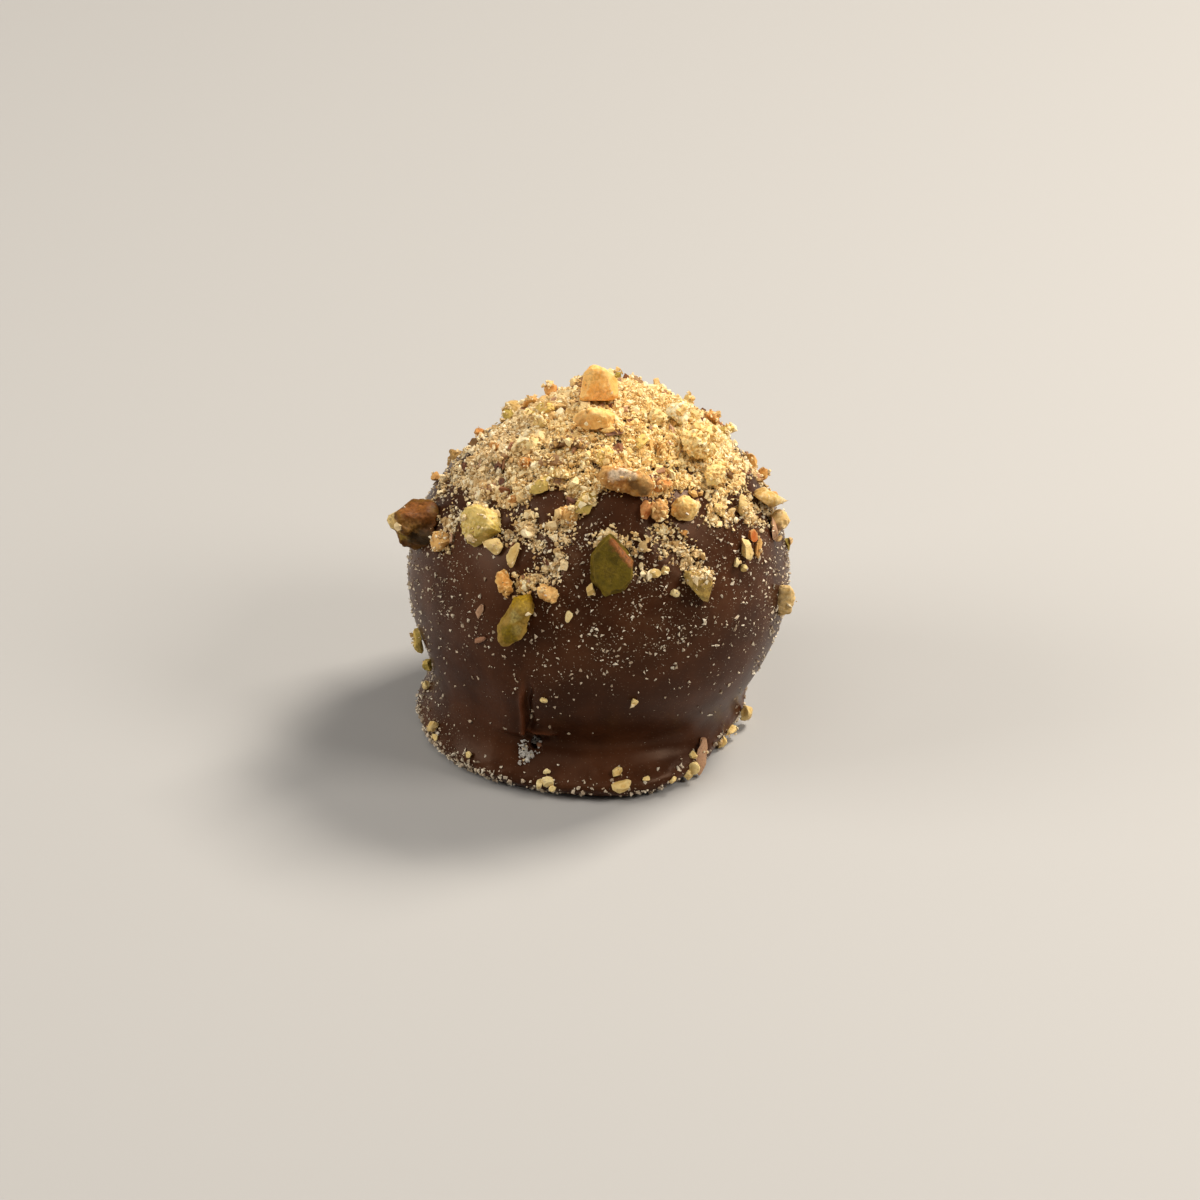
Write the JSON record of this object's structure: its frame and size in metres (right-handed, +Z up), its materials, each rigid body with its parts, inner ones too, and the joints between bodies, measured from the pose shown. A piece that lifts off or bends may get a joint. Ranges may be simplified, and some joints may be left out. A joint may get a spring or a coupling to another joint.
{
  "type": "chocolate truffle",
  "caption": "Round milk chocolate truffle on the small foot its coating ran into, with chopped roasted nuts and pistachio stuck to its upper half.",
  "frame": {"origin": "centre of the flat base, under the middle of the ball", "axes": "+Z up from the base, -Y out of the best side, +X to the right seen from that side"},
  "size_m": [0.0317, 0.0301, 0.0305],
  "materials": {
    "chocolate": "satin milk chocolate with a dusting of nut meal",
    "roasted_hazelnut": "matte roasted nut",
    "walnut": "matte nut with brown skin",
    "pistachio": "matte green nut with pink-brown skin",
    "peanut": "matte pale roasted nut",
    "almond": "matte whitish nut flesh",
    "nut_meal": "loose golden nut meal"
  },
  "bodies": {
    "root": {"truffle": "chocolate", "hazelnut_peak": "roasted_hazelnut", "hazelnut_brow": "roasted_hazelnut", "hazelnut_curl": "roasted_hazelnut", "hazelnut_chip_left": "roasted_hazelnut", "hazelnut_chip_right": "roasted_hazelnut", "hazelnut_bead": "roasted_hazelnut", "walnut_left": "walnut", "pistachio_left": "pistachio", "pistachio_front": "pistachio", "pistachio_low": "pistachio", "pistachio_leaf": "pistachio", "peanut_right": "peanut", "peanut_edge": "peanut", "peanut_lump": "peanut", "peanut_half": "peanut", "peanut_front": "peanut", "peanut_low": "peanut", "almond_pale": "almond", "hazelnut_back": "roasted_hazelnut", "pistachio_back": "pistachio", "pistachio_tail": "pistachio", "peanut_back": "peanut", "almond_back": "almond", "walnut_back": "walnut"}
  },
  "joints": []
}
